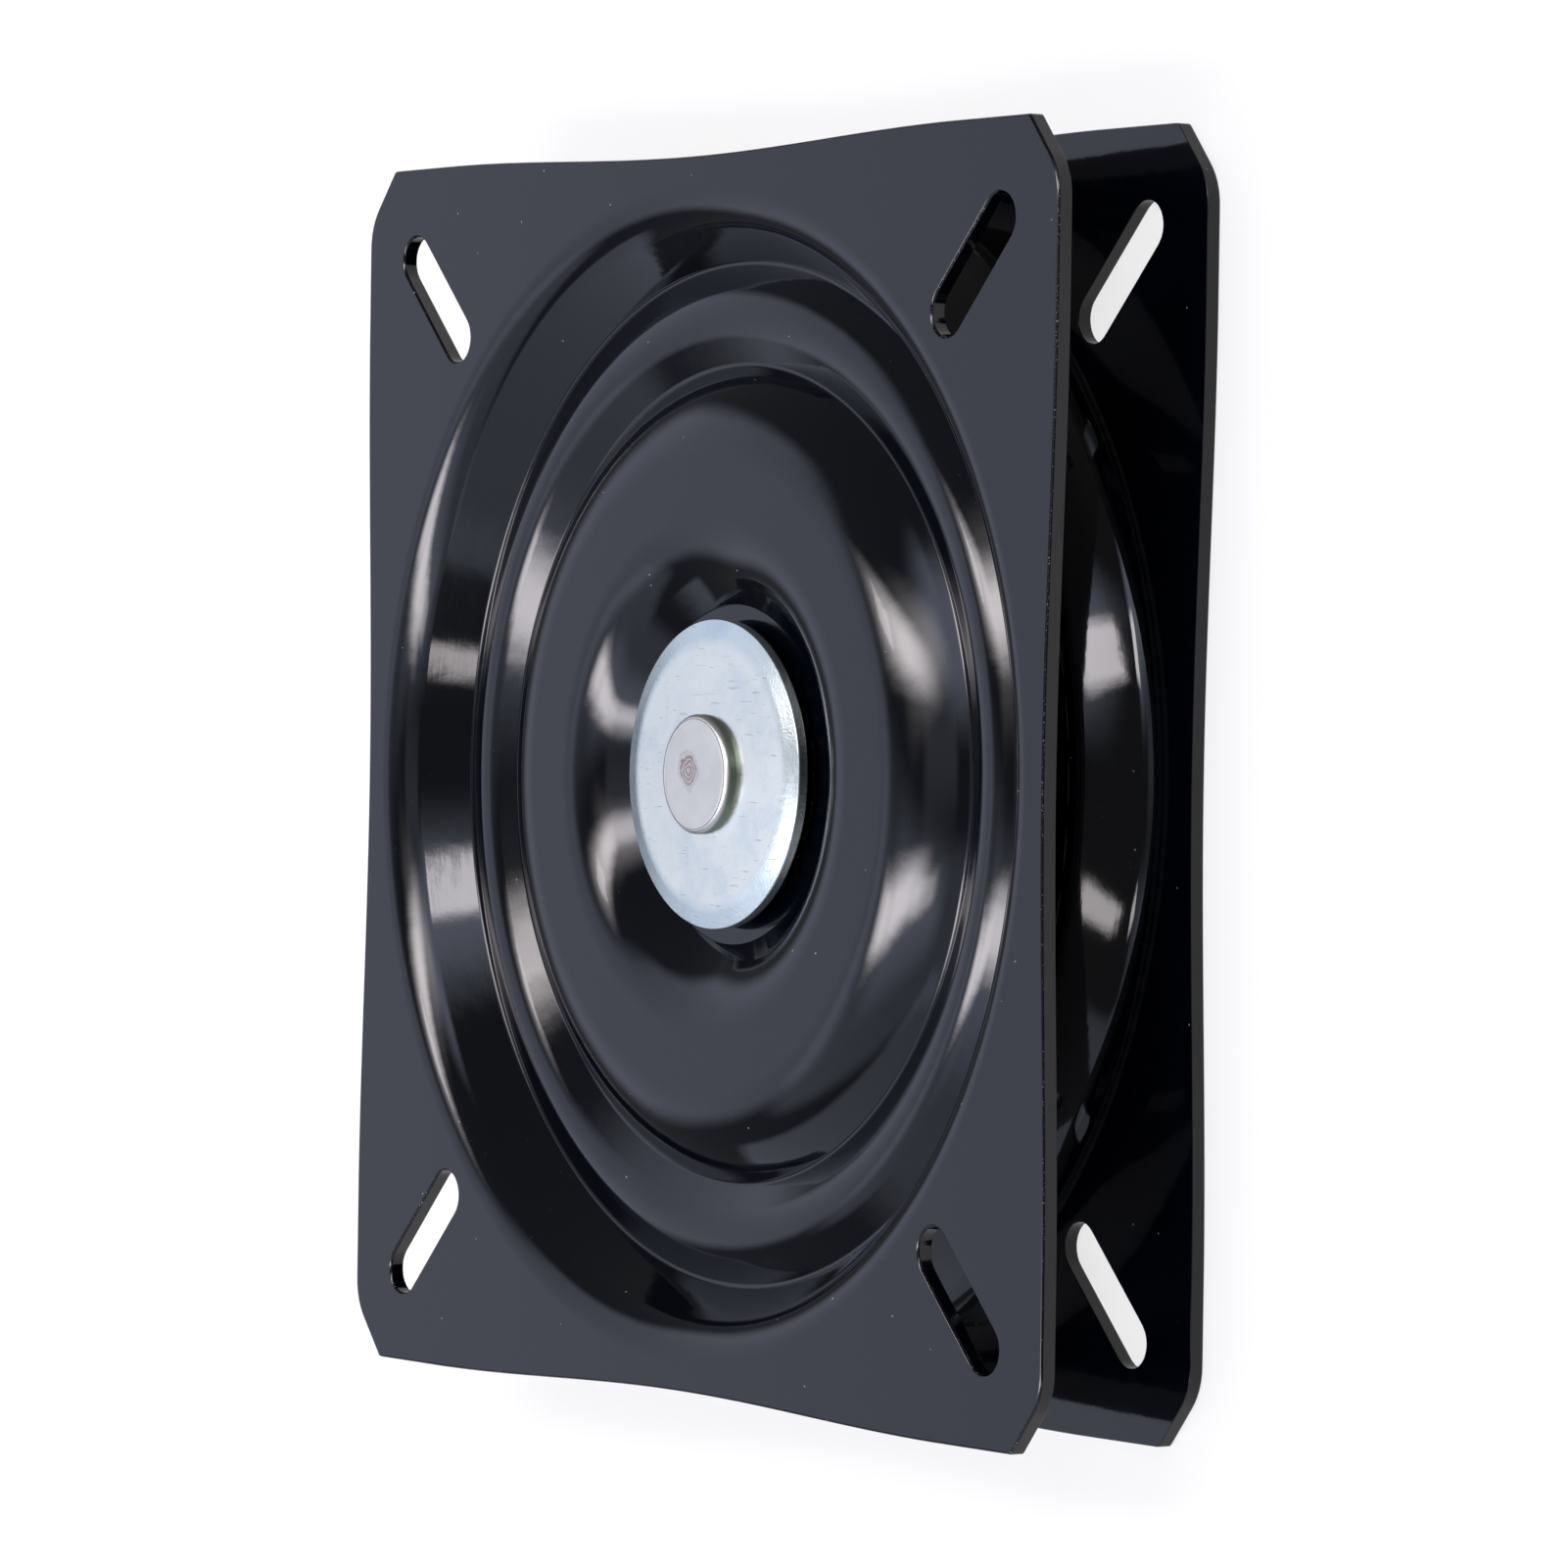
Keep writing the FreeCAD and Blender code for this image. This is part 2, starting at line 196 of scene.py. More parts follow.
def plate_angles():
    """Polar angles of the grid's columns. Even angles are moved by a small share of the sine of
    four times themselves, which crowds them at the corners, and a crop's ends get a few more."""
    even = np.linspace(0, 2 * np.pi, COLUMNS, endpoint=False)
    crowded = even + 0.0875 * np.sin(4 * even)
    crop = np.arctan2([y for _, y, _ in CROP], [x for x, _, _ in CROP])
    near = np.concatenate([crop[0] + np.radians([-0.3, -0.15, 0, 0.15, 0.3]),
                           crop[1] + np.radians([-2.0, 2.0])])
    near = np.concatenate([near, np.pi - near, np.pi + near, 2 * np.pi - near])
    return np.unique(np.round(np.concatenate([crowded, near]), 5))


def plate_surface(hole, grooved):
    """One closed skin, as vertices, normals, faces and wear.

    The section's rows are carried round the axis. Then come the rim out to the outline, the edge,
    the underside, which is every other row of the face moved down its own normal by the sheet, and
    the bore. At each corner the grid is open, and a band joins both faces to the slot's rows.
    """
    groove = HOLD_GROOVE if grooved else []
    section = [(hole, -HUB_DEPTH, 0)] + [(r, -depth, bend) for r, depth, bend in groove + PRESSING]
    points, normals = bent_rows(section, BEND_STEP)
    back = [len(points) - 1, *range(len(points) - 2, 0, -2), 0]
    bore = np.array([[hole, -HUB_DEPTH - SHEET + EDGE_FLAT], [hole, -HUB_DEPTH - EDGE_FLAT]])
    inset, level, out, up, wear = edge_rows()
    theta = plate_angles()
    ring = np.stack([np.cos(theta), np.sin(theta)], 1)
    edge, edge_normal = outline_at(theta)
    rim = at_level(edge[None] - inset[:, None, None] * edge_normal[None], level)
    rim_normals = at_level(out[:, None, None] * edge_normal[None], up)
    bore_normals = np.array([[-1.0, 0.0], [-1.0, 0.0]])
    grid = np.concatenate([carried(points, ring), rim,
                           carried(points[back] - SHEET * normals[back], ring),
                           carried(bore, ring)])
    grid_normals = np.concatenate([carried(normals, ring), rim_normals,
                                   carried(-normals[back], ring), carried(bore_normals, ring)])
    flat_row, edge_row = len(points) - 1, len(points)
    cut_row, back_row = len(points) + len(level) - 1, len(points) + len(level)
    index, quads = grid_faces(*grid.shape[:2])
    keep = np.ones(index.shape, bool)
    rubbed = np.zeros(index.shape)
    rubbed[edge_row:back_row] = wear[:, None]
    vertices, all_normals = [grid.reshape(-1, 3)], [grid_normals.reshape(-1, 3)]
    faces, wears, count = [], [rubbed.ravel()], index.size
    for quarter in range(4):
        middle = np.pi / 4 + quarter * np.pi / 2
        corner = np.flatnonzero(np.abs(theta - middle) < np.radians(BAND_REACH))
        keep[flat_row, corner[:-1]] = False
        keep[cut_row, corner[:-1]] = False
        upper = np.concatenate([index[flat_row, corner], index[edge_row, corner[::-1]]])
        lower = np.concatenate([index[back_row, corner], index[cut_row, corner[::-1]]])
        band, band_normals = slot_band(middle, vertices[0][upper][:, :2], inset, level, out, up)
        new = count + np.arange(band[..., 0].size).reshape(band.shape[:2])
        ladder = np.concatenate([upper[None], new, lower[None]])
        step = np.roll(ladder, -1, 1)
        faces.append(np.stack([ladder[:-1], ladder[1:], step[1:], step[:-1]], 2).reshape(-1, 4))
        vertices.append(band.reshape(-1, 3))
        all_normals.append(band_normals.reshape(-1, 3))
        wears.append(np.repeat(wear, band.shape[1]))
        count += new.size
    faces.append(quads[keep])
    return (np.concatenate(vertices) * MM, np.concatenate(all_normals), [np.concatenate(faces)],
            np.concatenate(wears))


def make_piece(name, vertices, normals, faces, wear=None):
    """Puts whole arrays into a mesh with its own exact normals, smooth all over. Faces is a list of
    index arrays, one for each number of sides, and wear is a value for each vertex."""
    mesh = bpy.data.meshes.new(name)
    mesh.vertices.add(len(vertices))
    mesh.vertices.foreach_set("co", vertices.astype(np.float32).ravel())
    corners = np.concatenate([f.ravel() for f in faces])
    sides = np.concatenate([np.full(len(f), f.shape[1]) for f in faces])
    mesh.loops.add(len(corners))
    mesh.loops.foreach_set("vertex_index", corners.astype(np.int32))
    mesh.polygons.add(len(sides))
    mesh.polygons.foreach_set("loop_start", (np.cumsum(sides) - sides).astype(np.int32))
    mesh.polygons.foreach_set("loop_total", sides.astype(np.int32))
    mesh.update(calc_edges=True)
    mesh.polygons.foreach_set("use_smooth", np.ones(len(sides), bool))
    mesh.normals_split_custom_set_from_vertices(normals)
    if wear is not None:
        values = mesh.attributes.new("wear", "FLOAT", "POINT").data
        values.foreach_set("value", wear.astype(np.float32))
    mesh.validate(clean_customdata=False)
    piece = bpy.data.objects.new(name, mesh)
    bpy.context.collection.objects.link(piece)
    return piece


points, normals, faces, wear = plate_surface(HUB_HOLE, grooved=True)
top = make_piece("upper_plate", points + [0, 0, FACE_LEVEL], normals, faces, wear)
points, normals, faces, wear = plate_surface(RIVET_HOLE, grooved=False)
low = make_piece("lower_plate", points * [1, -1, -1], normals * [1, -1, -1], faces, wear)


def linear(hexcode):
    """An sRGB hex colour as linear light, with full alpha."""
    value = np.array([int(hexcode[i:i + 2], 16) for i in (1, 3, 5)]) / 255
    value = np.where(value <= 0.04045, value / 12.92, ((value + 0.055) / 1.055) ** 2.4)
    return (*value.tolist(), 1.0)


def add_node(tree, kind, settings=(), **links):
    """Adds a node, sets its properties and inputs, and links its inputs from sockets.

    Settings name an input by its name or place, and links by its name, with _ for a space, or by i
    and its place. A colour Mix node's share is input 0, its colours 6 and 7, its result output 2.
    """
    node = tree.nodes.new(kind)
    for key, value in dict(settings).items():
        if isinstance(key, str) and hasattr(node, key) and key not in node.inputs:
            setattr(node, key, value)
        else:
            node.inputs[key].default_value = value
    for key, socket in links.items():
        by_place = key[0] == "i" and key[1:].isdigit()
        tree.links.new(socket, node.inputs[int(key[1:]) if by_place else key.replace("_", " ")])
    return node


def new_material(name):
    """An empty material, its node tree and its shader."""
    material = bpy.data.materials.new(name)
    material.use_nodes = True
    tree = material.node_tree
    return material, tree, tree.nodes["Principled BSDF"]


# Gloss black stoving enamel, sprayed on drawn steel: nearly no colour of its own and a hard wet
# gloss, with faint orange peel, fine lines where the press tools drew the sheet round, thin rubbed
# paint along the cut edges, and a little dust.
paint, tree, shader = new_material("gloss_black_stoving_enamel")
place = add_node(tree, "ShaderNodeTexCoord").outputs["Object"]
# Orange peel, 4 mm from crest to crest.
peel = add_node(tree, "ShaderNodeTexNoise", {"Scale": METRE / 4.0, "Detail": 1.0}, Vector=place)
# Drawing lines run round the axis: 0.5 mm apart, and 1 / 2.3 of a radian, or 25 degrees, long.
axis = add_node(tree, "ShaderNodeSeparateXYZ", Vector=place)
turn = add_node(tree, "ShaderNodeMath", {"operation": "ARCTAN2"},
                i0=axis.outputs["Y"], i1=axis.outputs["X"])
flat = add_node(tree, "ShaderNodeCombineXYZ", X=axis.outputs["X"], Y=axis.outputs["Y"])
reach = add_node(tree, "ShaderNodeVectorMath", {"operation": "LENGTH"}, i0=flat.outputs[0])
lines_at = add_node(tree, "ShaderNodeMath", {"operation": "MULTIPLY", 1: METRE / 0.5},
                    i0=reach.outputs["Value"])
sweep = add_node(tree, "ShaderNodeMath", {"operation": "MULTIPLY", 1: 2.3}, i0=turn.outputs[0])
polar = add_node(tree, "ShaderNodeCombineXYZ", X=lines_at.outputs[0], Y=sweep.outputs[0])
lines = add_node(tree, "ShaderNodeTexNoise", {"Scale": 1.0, "Detail": 2.0, "Roughness": 0.6},
                 Vector=polar.outputs[0])
# The enamel's own fine grain, 0.7 mm, varies the gloss too.
fine = add_node(tree, "ShaderNodeTexNoise", {"Scale": 1500.0, "Detail": 2.0}, Vector=place)
drawn = add_node(tree, "ShaderNodeBump", {"Strength": 0.035, "Distance": 0.08 * MM},
                 Height=lines.outputs["Fac"])
grainy = add_node(tree, "ShaderNodeBump", {"Strength": 0.03, "Distance": 0.06 * MM},
                  Height=fine.outputs["Fac"], Normal=drawn.outputs["Normal"])
bump = add_node(tree, "ShaderNodeBump", {"Strength": 0.07, "Distance": 0.2 * MM},
                Height=peel.outputs["Fac"], Normal=grainy.outputs["Normal"])
tree.links.new(bump.outputs["Normal"], shader.inputs["Normal"])
# Dust specks 0.3 mm across, about one to each 9 mm square, and fainter ones closer together. Each
# is the middle of a cell of the given spacing, in those few cells whose own chance is high.
specks = []
for spacing, size, chance in ((3.4, 0.045, 0.86), (1.9, 0.07, 0.76)):
    dust = add_node(tree, "ShaderNodeTexVoronoi", {"feature": "F1", "Scale": METRE / spacing},
                    Vector=place)
    close = add_node(tree, "ShaderNodeMath", {"operation": "LESS_THAN", 1: size},
                     i0=dust.outputs["Distance"])
    drawn_lot = add_node(tree, "ShaderNodeSeparateColor", Color=dust.outputs["Color"])
    chosen = add_node(tree, "ShaderNodeMath", {"operation": "GREATER_THAN", 1: chance},
                      i0=drawn_lot.outputs["Red"])
    specks.append(add_node(tree, "ShaderNodeMath", {"operation": "MULTIPLY"},
                           i0=close.outputs[0], i1=chosen.outputs[0]))
enamel, pale_dust, faint_dust = linear("#04060d"), linear("#8f939b"), linear("#26282c")
colour = add_node(tree, "ShaderNodeMix", {"data_type": "RGBA", 6: enamel, 7: pale_dust},
                  i0=specks[0].outputs[0])
colour = add_node(tree, "ShaderNodeMix", {"data_type": "RGBA", 7: faint_dust},
                  i0=specks[1].outputs[0], i6=colour.outputs[2])
# Along the edges the paint is thin, with bare spots 0.3 mm across, in patches of about 11 mm.
edge = add_node(tree, "ShaderNodeAttribute", {"attribute_name": "wear"})
chips = add_node(tree, "ShaderNodeTexNoise", {"Scale": 3400.0, "Detail": 2.0}, Vector=place)
cloud = add_node(tree, "ShaderNodeTexNoise", {"Scale": 90.0, "Detail": 2.0}, Vector=place)
patch = add_node(tree, "ShaderNodeMapRange", {"To Min": 0.6, "To Max": 1.0},
                 Value=cloud.outputs["Fac"])
both = add_node(tree, "ShaderNodeMath", {"operation": "MULTIPLY"},
                i0=chips.outputs["Fac"], i1=patch.outputs["Result"])
both = add_node(tree, "ShaderNodeMath", {"operation": "MULTIPLY"},
                i0=both.outputs[0], i1=edge.outputs["Fac"])
bare = add_node(tree, "ShaderNodeMapRange", {"From Min": 0.49, "From Max": 0.58},
                Value=both.outputs[0])
colour = add_node(tree, "ShaderNodeMix", {"data_type": "RGBA", 7: linear("#7a7672")},
                  i0=bare.outputs["Result"], i6=colour.outputs[2])
tree.links.new(colour.outputs[2], shader.inputs["Base Color"])
shader.inputs["IOR"].default_value = 1.55
gloss = add_node(tree, "ShaderNodeMapRange", {"To Min": 0.035, "To Max": 0.07},
                 Value=fine.outputs["Fac"])
tree.links.new(gloss.outputs["Result"], shader.inputs["Roughness"])
for piece, node, body in ((top, "top_plate", "turntable"), (low, "bottom_plate", "base")):
    piece.data.materials.append(paint)
    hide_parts(node)
    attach(piece, body)


# The load balls and the small balls: hardened bearing steel, ground and polished, packed in grease.
# They are the frame's own spheres. The dark film, blotched every 1.4 mm or so, dims the steel and
# leaves small sharp glints.
greased, tree, shader = new_material("greased_bearing_steel")
place = add_node(tree, "ShaderNodeTexCoord").outputs["Object"]
film = add_node(tree, "ShaderNodeTexNoise", {"Scale": 700.0, "Detail": 3.0}, Vector=place)
under_film, clean_steel = linear("#4a463f"), linear("#8d8b88")
tone = add_node(tree, "ShaderNodeMix", {"data_type": "RGBA", 6: under_film, 7: clean_steel},
                i0=film.outputs["Fac"])
tree.links.new(tone.outputs[2], shader.inputs["Base Color"])
shader.inputs["Metallic"].default_value = 1.0
rough = add_node(tree, "ShaderNodeMapRange", {"To Min": 0.1, "To Max": 0.3},
                 Value=film.outputs["Fac"])
tree.links.new(rough.outputs["Result"], shader.inputs["Roughness"])
shader.inputs["Coat Weight"].default_value = 0.6
shader.inputs["Coat Roughness"].default_value = 0.05
for node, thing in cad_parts.items():
    if node.startswith("load_ball") or node == "hold_down_balls":
        thing.data.materials.clear()
        thing.data.materials.append(greased)


# The washer: a blanked steel disc, domed in the press, zinc plated and blue passivated. The rivet's
# head clamps it and raised its middle a little, and blanking rolled its outer 3 mm over.
def turned_piece(name, section, columns, step, pole=False):
    """A closed solid of revolution. Its section is a closed run of corners as radius, level and
    bend, and each row of the bent section is carried round the axis on a grid of angles. Where the
    section starts and ends on the axis, each pole is one vertex with a fan of triangles."""
    rows, normals = bent_rows(section, step)
    ends = rows[[0, -1]]
    rows, normals = (rows[1:-1], normals[1:-1]) if pole else (rows[:-1], normals[:-1])
    theta = np.linspace(0, 2 * np.pi, columns, endpoint=False)
    ring = np.stack([np.cos(theta), np.sin(theta)], 1)
    index, quads = grid_faces(len(rows), columns)
    vertices = carried(rows, ring).reshape(-1, 3)
    all_normals = carried(normals, ring).reshape(-1, 3)
    faces = [quads.reshape(-1, 4)]
    if pole:
        first, last = index[0], index[-1]
        crown_pole, foot_pole = np.full((2, columns), [[index.size], [index.size + 1]])
        faces = [quads[:-1].reshape(-1, 4), np.stack([crown_pole, first, np.roll(first, -1)], 1),
                 np.stack([foot_pole, np.roll(last, -1), last], 1)]
        vertices = np.concatenate([vertices, [[0, 0, ends[0, 1]], [0, 0, ends[1, 1]]]])
        all_normals = np.concatenate([all_normals, [[0, 0, 1.0], [0, 0, -1.0]]])
    return make_piece(name, vertices * MM, all_normals, faces)


low_corner, high_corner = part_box("washer")
under, over, radius = low_corner[2] * METRE, high_corner[2] * METRE, high_corner[0] * METRE
# Radius, level and bend, up the bore's wall and out: the rise round the rivet, the dome, the rolled
# rim and the underside.
washer_section = [
    (RIVET_HOLE, under + 0.9, 0), (RIVET_HOLE, over + 1.68, 0.1), (9.4, over + 1.68, 0.3),
    (12.4, over + 1.36, 6), (16.2, over + 1.08, 12), (21.4, over + 0.70, 12),
    (radius - 0.1, over - 0.02, 0.15), (radius, over - 0.22, 0.12), (radius, under, 0.45),
    (RIVET_HOLE, under, 0.1), (RIVET_HOLE, under + 0.9, 0)]
washer_disc = turned_piece("washer_disc", washer_section, columns=256, step=6)
# Blue passivated zinc: a pale, faintly blue metal, mottled about every 9 mm, with a fine sparkle.
zinc, tree, shader = new_material("blue_passivated_zinc_plate")
place = add_node(tree, "ShaderNodeTexCoord").outputs["Object"]
# Plating crystals, drawn 0.35 mm across where real ones are finer, so that the face sparkles, and
# a grain of 0.6 mm.
crystals = add_node(tree, "ShaderNodeTexVoronoi", {"feature": "F1", "Scale": 2800.0}, Vector=place)
grain = add_node(tree, "ShaderNodeTexNoise", {"Scale": 1600.0, "Detail": 4.0, "Roughness": 0.7},
                 Vector=place)
cloud = add_node(tree, "ShaderNodeTexNoise", {"Scale": 110.0, "Detail": 4.0, "Roughness": 0.6},
                 Vector=place)
tone = add_node(tree, "ShaderNodeValToRGB", Fac=cloud.outputs["Fac"])
ramp = tone.color_ramp
ramp.elements[0].position, ramp.elements[1].position = 0.32, 0.68
ramp.elements[0].color, ramp.elements[1].color = linear("#e9f0ec"), linear("#fefff5")
middle_tone = ramp.elements.new(0.5)
middle_tone.color = linear("#f8fbf1")
# Short scratches, 4 mm long and 0.4 mm wide, a little greyer than the plating.
scratch_place = add_node(tree, "ShaderNodeMapping",
                         {"Rotation": (0, 0, 0.6), "Scale": (250.0, 2600.0, 250.0)}, Vector=place)
scratches = add_node(tree, "ShaderNodeTexNoise", {"Scale": 1.0, "Detail": 1.0},
                     Vector=scratch_place.outputs["Vector"])
fine_lines = add_node(tree, "ShaderNodeMapRange",
                      {"From Min": 0.68, "From Max": 0.76, "To Min": 0.0, "To Max": 0.5},
                      Value=scratches.outputs["Fac"])
marked = add_node(tree, "ShaderNodeMix", {"data_type": "RGBA", 7: linear("#a9a8a2")},
                  i0=fine_lines.outputs["Result"], i6=tone.outputs["Color"])
# From about 21 mm out the rolled rim is tinted bluer: a painted reflection of the dark, bluish room
# that the rolled rim mirrors.
flat = add_node(tree, "ShaderNodeVectorMath", {"operation": "MULTIPLY", 1: (1.0, 1.0, 0.0)},
                i0=place)
reach = add_node(tree, "ShaderNodeVectorMath", {"operation": "LENGTH"}, i0=flat.outputs[0])
rim_reflection_share = add_node(tree, "ShaderNodeMapRange", {"From Min": 20.2 * MM, "From Max": 22.2 * MM},
                     Value=reach.outputs["Value"])
painted_blue_reflection = add_node(tree, "ShaderNodeMix",
                 {"data_type": "RGBA", "blend_type": "MULTIPLY", 7: linear("#e8f1fa")},
                 i0=rim_reflection_share.outputs["Result"], i6=marked.outputs[2])
tree.links.new(painted_blue_reflection.outputs[2], shader.inputs["Base Color"])
shader.inputs["Metallic"].default_value = 1.0
rough = add_node(tree, "ShaderNodeMapRange", {"To Min": 0.15, "To Max": 0.29},
                 Value=grain.outputs["Fac"])
tree.links.new(rough.outputs["Result"], shader.inputs["Roughness"])
facets = add_node(tree, "ShaderNodeBump", {"Strength": 0.16, "Distance": 0.08 * MM},
                  Height=crystals.outputs["Distance"])
bump = add_node(tree, "ShaderNodeBump", {"Strength": 0.14, "Distance": 0.12 * MM},
                Height=grain.outputs["Fac"], Normal=facets.outputs["Normal"])
tree.links.new(bump.outputs["Normal"], shader.inputs["Normal"])
washer_disc.data.materials.append(zinc)
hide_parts("washer")
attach(washer_disc, "base")


# The centre rivet: soft steel, its shank turned down and its upper head formed in a press, then
# plated. The punch left a flat worn face with a faint ring near its edge and a brown mark. The
# lower head sits in the lower plate's hub recess and bears on it at HUB_DEPTH.
low_corner, high_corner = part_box("rivet")
foot, crown, head = low_corner[2] * METRE, high_corner[2] * METRE, high_corner[0] * METRE
# The face with its ring, the head's side down into the washer's rise, the shank and the lower head.
rivet_section = [
    (0, crown - 0.02, 0), (8.2, crown - 0.02, 0.5), (8.5, crown - 0.06, 0.4),
    (8.8, crown - 0.02, 0.4), (head, crown - 0.02, 0.8), (head, over + 1.2, 0.1),
    (RIVET_HOLE, over + 1.2, 0.05), (RIVET_HOLE, HUB_DEPTH, 0.05), (head, HUB_DEPTH, 0.3),
    (head, foot, 1.0), (0, foot, 0)]
centre_rivet = turned_piece("centre_rivet", rivet_section, columns=192, step=7, pole=True)
# Zinc plate worn by the punch: a warmer and duller white than the washer, clouded about every 4 mm,
# with a 0.5 mm grain.
worn, tree, shader = new_material("worn_zinc_plate")
place = add_node(tree, "ShaderNodeTexCoord").outputs["Object"]
grain = add_node(tree, "ShaderNodeTexNoise", {"Scale": 1900.0, "Detail": 4.0, "Roughness": 0.7},
                 Vector=place)
cloud = add_node(tree, "ShaderNodeTexNoise", {"Scale": 260.0, "Detail": 3.0}, Vector=place)
dull_zinc, rubbed_zinc = linear("#d3d2cd"), linear("#e8e7e1")
tone = add_node(tree, "ShaderNodeMix", {"data_type": "RGBA", 6: dull_zinc, 7: rubbed_zinc},
                i0=cloud.outputs["Fac"])
# The brown mark: rings 0.8 mm apart inside a radius of about 3 mm, beside the centre. A noise of
# 2.4 mm is added to the distance from its middle, so the rings are ragged.
mark_place = add_node(tree, "ShaderNodeMapping",
                      {"vector_type": "TEXTURE", "Location": (-1.7 * MM, 0.6 * MM, 0.0)},
                      Vector=place)
around = add_node(tree, "ShaderNodeSeparateXYZ", Vector=mark_place.outputs["Vector"])
level_off = add_node(tree, "ShaderNodeCombineXYZ", X=around.outputs["X"], Y=around.outputs["Y"])
blot = add_node(tree, "ShaderNodeTexNoise", {"Scale": 420.0, "Detail": 3.0, "Roughness": 0.65},
                Vector=place)
distance = add_node(tree, "ShaderNodeVectorMath", {"operation": "LENGTH"}, i0=level_off.outputs[0])
ragged = add_node(tree, "ShaderNodeMath", {"operation": "MULTIPLY_ADD", 1: 2.4 * MM},
                  i0=blot.outputs["Fac"], i2=distance.outputs["Value"])
inside = add_node(tree, "ShaderNodeMapRange",
                  {"From Min": 4.4 * MM, "From Max": 3.4 * MM, "To Min": 0.0, "To Max": 1.0},
                  Value=ragged.outputs[0])
waves = add_node(tree, "ShaderNodeMath", {"operation": "MULTIPLY", 1: 7850.0}, i0=ragged.outputs[0])
waves = add_node(tree, "ShaderNodeMath", {"operation": "SINE"}, i0=waves.outputs[0])
rings = add_node(tree, "ShaderNodeMapRange",
                 {"From Min": -0.6, "From Max": 0.9, "To Min": 0.35, "To Max": 0.95},
                 Value=waves.outputs[0])
amount = add_node(tree, "ShaderNodeMath", {"operation": "MULTIPLY"},
                  i0=inside.outputs["Result"], i1=rings.outputs["Result"])
on_face = add_node(tree, "ShaderNodeMath", {"operation": "GREATER_THAN", 1: MM * (crown - 0.4)},
                   i0=around.outputs["Z"])
amount = add_node(tree, "ShaderNodeMath", {"operation": "MULTIPLY"},
                  i0=amount.outputs[0], i1=on_face.outputs[0])
brown = add_node(tree, "ShaderNodeMix", {"data_type": "RGBA", 7: linear("#a08a86")},
                 i0=amount.outputs[0], i6=tone.outputs[2])
# Below the punched face the plating is painted a darker olive: painted shade on the head's side,
# where it falls into the washer's rise.
side = add_node(tree, "ShaderNodeMapRange",
                {"From Min": MM * (crown - 0.4), "From Max": MM * (crown - 0.9)},
                Value=around.outputs["Z"])
olive_painted_shade = add_node(tree, "ShaderNodeMix", {"data_type": "RGBA", 7: linear("#7c8777")},
                 i0=side.outputs["Result"], i6=brown.outputs[2])
tree.links.new(olive_painted_shade.outputs[2], shader.inputs["Base Color"])
shader.inputs["Metallic"].default_value = 1.0
rough = add_node(tree, "ShaderNodeMapRange", {"To Min": 0.3, "To Max": 0.48},
                 Value=grain.outputs["Fac"])
tree.links.new(rough.outputs["Result"], shader.inputs["Roughness"])
bump = add_node(tree, "ShaderNodeBump", {"Strength": 0.22, "Distance": 0.1 * MM},
                Height=grain.outputs["Fac"])
tree.links.new(bump.outputs["Normal"], shader.inputs["Normal"])
centre_rivet.data.materials.append(worn)
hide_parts("rivet")
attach(centre_rivet, "base")


# The spacer sleeve on the rivet: steel turned on a lathe and lightly oiled, hidden between the
# plates. It is the frame's own solid, a grey metal with fine turning marks 0.35 mm apart.
oiled, tree, shader = new_material("oiled_turned_steel")
place = add_node(tree, "ShaderNodeTexCoord").outputs["Object"]
marks = add_node(tree, "ShaderNodeTexWave",
                 {"wave_type": "BANDS", "bands_direction": "Z", "Scale": 900.0, "Distortion": 0.4},
                 Vector=place)
valley, ridge = linear("#6d6b68"), linear("#a3a2a0")
tone = add_node(tree, "ShaderNodeMix", {"data_type": "RGBA", 6: valley, 7: ridge},
                i0=marks.outputs["Fac"])
tree.links.new(tone.outputs[2], shader.inputs["Base Color"])
shader.inputs["Metallic"].default_value = 1.0
shader.inputs["Roughness"].default_value = 0.32
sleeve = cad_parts["spacer_sleeve"]
sleeve.data.materials.clear()
sleeve.data.materials.append(oiled)


# The studio: a white table under the bearing, and around it what its gloss paint mirrors. Two long
# soft boxes hang a metre above it, with fainter boards beside them; two boxes hang near the camera,
# and pale boards stand to the left and below. The side above it in the picture is dark. Each lamp
# hangs at a height of its own, so a mirrored ray meets every one in turn.
face_middle = np.array([0.0, 0.0, FACE_LEVEL])


